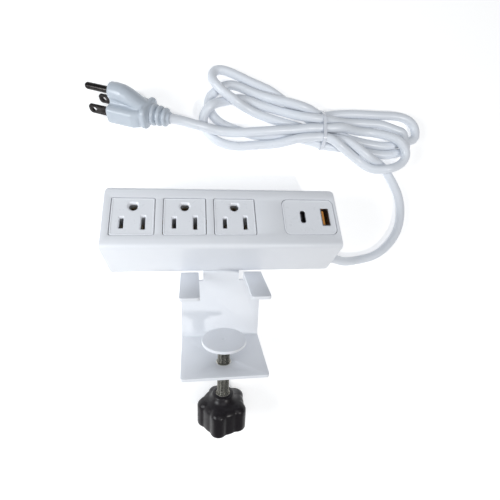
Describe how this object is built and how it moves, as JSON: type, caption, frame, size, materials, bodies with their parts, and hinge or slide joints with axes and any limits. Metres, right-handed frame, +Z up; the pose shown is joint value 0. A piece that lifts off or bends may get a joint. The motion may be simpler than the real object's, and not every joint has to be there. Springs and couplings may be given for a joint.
{
  "type": "desk power strip",
  "caption": "Clamp-on desk power strip: a slim leaning body with grounded outlets and USB ports on a bent sheet bracket with a screw clamp, and a tied cord with a three-pin plug.",
  "frame": {"origin": "centre of the object's footprint on the surface that it lies on, without the cord and plug", "axes": "+Z up from the surface, +Y from the clamp knob towards the body's top edge, +X along the body towards the USB ports"},
  "size_m": [0.2437, 0.2564, 0.056],
  "materials": {
    "white_powder_coat": "fine powder coat, satin",
    "white_housing": "moulded, satin",
    "white_insert": "moulded, smooth",
    "inner_plastic": "moulded, matt",
    "brass_contact": "stamped strip",
    "wire_black": "insulated wire",
    "wire_white": "insulated wire",
    "wire_green": "insulated wire",
    "port_steel": "plated, satin",
    "amber_tongue": "moulded",
    "black_plastic": "moulded, satin",
    "circuit_board": "solder mask",
    "transformer_tape": "taped winding",
    "capacitor_can": "sleeved can",
    "zinc_steel": "bright plating",
    "white_pvc": "soft PVC, semi gloss",
    "clear_tie": "thin clear film band",
    "blade_metal": "plated blade"
  },
  "bodies": {
    "strip": {"front_cover": "white_powder_coat", "clamp_bracket": "white_powder_coat", "rear_housing": "white_housing", "outlet_face_1": "white_insert", "outlet_face_2": "white_insert", "outlet_face_3": "white_insert", "usb_bezel": "white_insert", "outlet_base_1": "inner_plastic", "outlet_base_2": "inner_plastic", "outlet_base_3": "inner_plastic", "line_busbar": "brass_contact", "neutral_busbar": "brass_contact", "ground_busbar": "brass_contact", "line_wire": "wire_black", "neutral_wire": "wire_white", "ground_wire": "wire_green", "usb_a_shell": "port_steel", "usb_c_shell": "port_steel", "usb_a_tongue": "amber_tongue", "usb_c_tongue": "black_plastic", "charger_board": "circuit_board", "charger_transformer": "transformer_tape", "charger_capacitors": "capacitor_can", "cover_screws": "zinc_steel", "bracket_screws": "zinc_steel", "clamp_bushing": "zinc_steel", "cord_bushing": "white_pvc", "cord_tail": "white_pvc", "cord_hank": "white_pvc", "cord_lead": "white_pvc", "plug_body": "white_pvc", "plug_strain_relief": "white_pvc", "cord_tie": "clear_tie", "plug_blades": "blade_metal", "plug_ground_pin": "blade_metal"},
    "pad": {"pad_disc": "white_powder_coat", "pad_socket": "zinc_steel"},
    "screw": {"clamp_screw": "zinc_steel", "star_knob": "black_plastic", "knob_insert": "zinc_steel"}
  },
  "joints": [
    {"name": "pad_slide", "type": "slide", "parent": "strip", "child": "pad", "axis": [0, 0.9462, 0.3237], "range_m": [-0.008, 0.02]},
    {"name": "knob_turn", "type": "hinge", "parent": "pad", "child": "screw", "pos_m": [-0.001, -0.03994, 0.02849], "axis": [0, 0.9462, 0.3237], "range_deg": [-2304, 5760]}
  ],
  "couplings": [
    {"joint": "knob_turn", "follows": "pad_slide", "rad_per_m": 5026.5}
  ]
}
